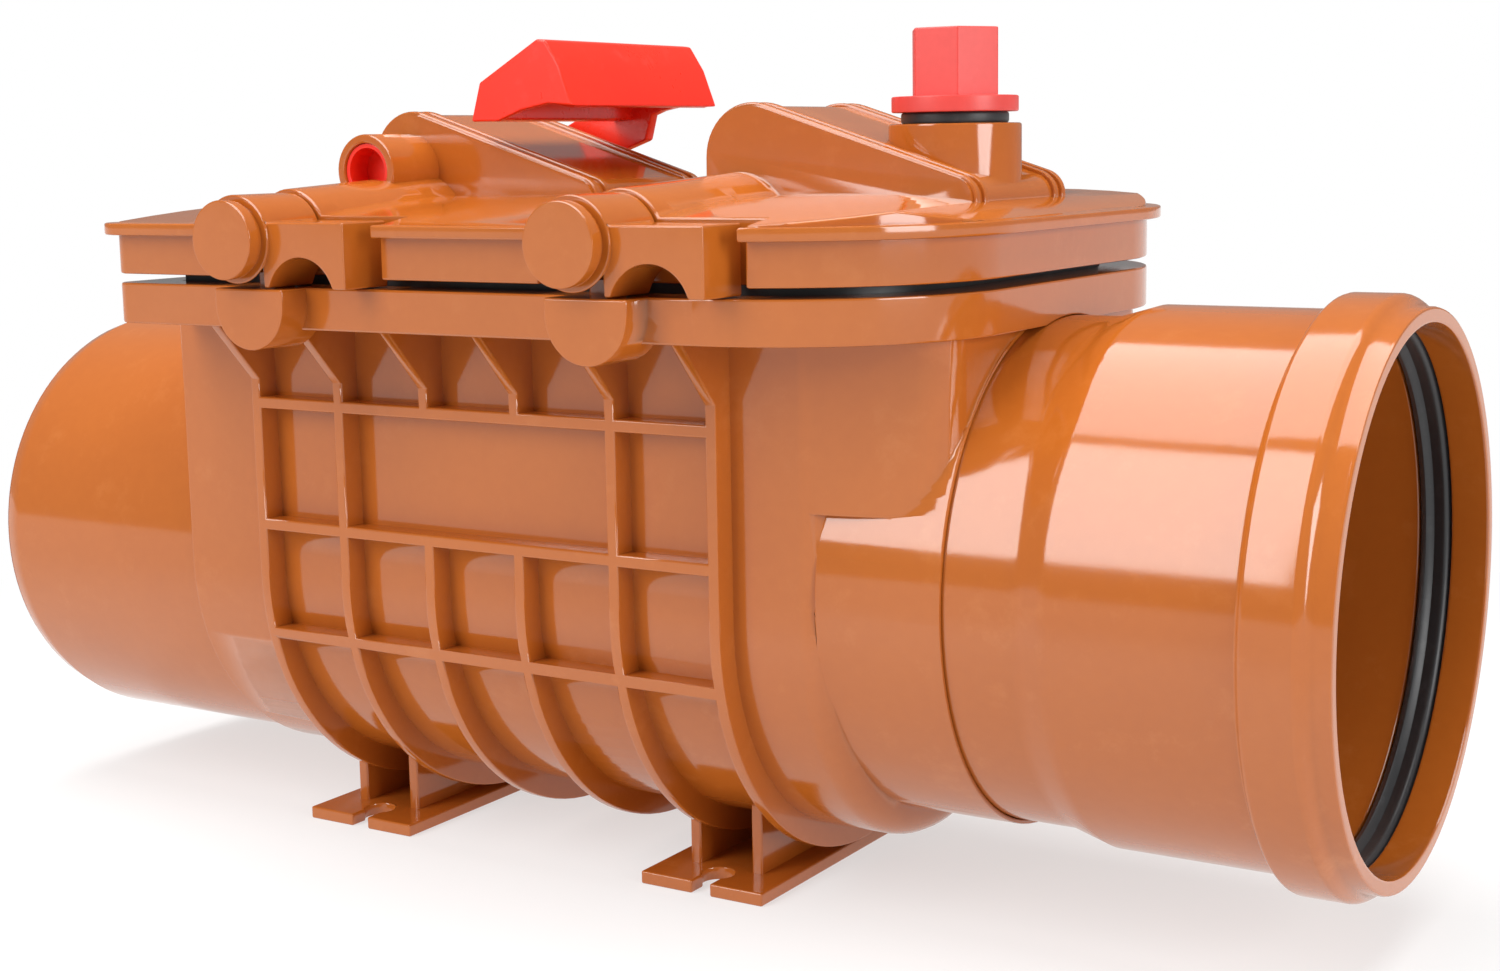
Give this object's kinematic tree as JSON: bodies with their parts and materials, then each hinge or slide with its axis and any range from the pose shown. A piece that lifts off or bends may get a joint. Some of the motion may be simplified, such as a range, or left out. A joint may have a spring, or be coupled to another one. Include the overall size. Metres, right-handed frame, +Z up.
{
  "type": "backwater valve",
  "caption": "Inline drain backwater valve: ribbed chamber with spigot and socket ends, clamped lid with humps, swing flaps, hand lock lever and threaded test plug.",
  "frame": {"origin": "on the surface that the feet stand on, midway between the spigot end and the socket mouth, below the pipe's centre plane", "axes": "+X along the pipe towards the inlet socket, +Z up, -Y the side with the blank name panel that the picture shows"},
  "size_m": [0.517, 0.264, 0.2775],
  "materials": {
    "orange_pvc": "gloss",
    "red_lever": "satin",
    "red_plug": "satin",
    "black_rubber": "matte",
    "grey_plastic": "matte",
    "stainless_steel": "brushed"
  },
  "bodies": {
    "base": {"housing": "orange_pvc", "outlet_spigot": "orange_pvc", "inlet_socket": "orange_pvc", "socket_seal": "black_rubber", "outlet_seat": "grey_plastic", "inlet_seat": "grey_plastic", "outlet_hinge_pin": "stainless_steel", "inlet_hinge_pin": "stainless_steel", "lid_gasket": "black_rubber"},
    "outlet_flap_body": {"outlet_flap": "grey_plastic", "outlet_flap_seal": "black_rubber", "outlet_flap_keeper": "stainless_steel", "outlet_keeper_screws": "stainless_steel"},
    "inlet_flap_body": {"inlet_flap": "grey_plastic", "inlet_flap_seal": "black_rubber", "inlet_flap_keeper": "stainless_steel", "inlet_keeper_screws": "stainless_steel"},
    "lid_body": {"lid": "orange_pvc"},
    "clamp_fo": {"clamp_front_outlet": "orange_pvc"},
    "clamp_fi": {"clamp_front_inlet": "orange_pvc"},
    "clamp_ro": {"clamp_rear_outlet": "orange_pvc"},
    "clamp_ri": {"clamp_rear_inlet": "orange_pvc"},
    "lock_body": {"lock_shaft": "red_lever", "lock_arm": "red_lever", "lock_lever": "red_lever", "lever_screw": "stainless_steel", "shaft_o_rings": "black_rubber"},
    "plug_rise_body": {"test_plug_o_ring": "black_rubber"},
    "plug_body": {"test_plug": "red_plug"}
  },
  "joints": [
    {"name": "outlet_flap_swing", "type": "hinge", "parent": "base", "child": "outlet_flap_body", "pos_m": [-0.0395, 0, 0.179], "axis": [0, 1, 0], "range_deg": [0, 50]},
    {"name": "inlet_flap_swing", "type": "hinge", "parent": "base", "child": "inlet_flap_body", "pos_m": [0.0909, 0, 0.179], "axis": [0, 1, 0], "range_deg": [0, 50]},
    {"name": "lid_lift", "type": "slide", "parent": "base", "child": "lid_body", "axis": [0, 0, 1], "range_m": [0, 0.15]},
    {"name": "clamp_front_outlet_turn", "type": "hinge", "parent": "lid_body", "child": "clamp_fo", "pos_m": [-0.0815, 0, 0.215], "axis": [0, -1, 0], "range_deg": [0, 100]},
    {"name": "clamp_front_inlet_turn", "type": "hinge", "parent": "lid_body", "child": "clamp_fi", "pos_m": [0.0495, 0, 0.215], "axis": [0, -1, 0], "range_deg": [0, 100]},
    {"name": "clamp_rear_outlet_turn", "type": "hinge", "parent": "lid_body", "child": "clamp_ro", "pos_m": [-0.0815, 0, 0.215], "axis": [0, -1, 0], "range_deg": [0, 100]},
    {"name": "clamp_rear_inlet_turn", "type": "hinge", "parent": "lid_body", "child": "clamp_ri", "pos_m": [0.0495, 0, 0.215], "axis": [0, -1, 0], "range_deg": [0, 100]},
    {"name": "lock_lever_turn", "type": "hinge", "parent": "lid_body", "child": "lock_body", "pos_m": [-0.0865, 0, 0.235], "axis": [0, -1, 0], "range_deg": [0, 38.5]},
    {"name": "test_plug_rise", "type": "slide", "parent": "lid_body", "child": "plug_rise_body", "axis": [0, 0, 1], "range_m": [0, 0.02]},
    {"name": "test_plug_turn", "type": "hinge", "parent": "plug_rise_body", "child": "plug_body", "pos_m": [0.1085, 0, 0.2195], "axis": [0, 0, 1], "range_deg": [0, 1800]}
  ],
  "couplings": [
    {"joint": "test_plug_rise", "follows": "test_plug_turn", "m_per_rad": 0.00063662}
  ]
}
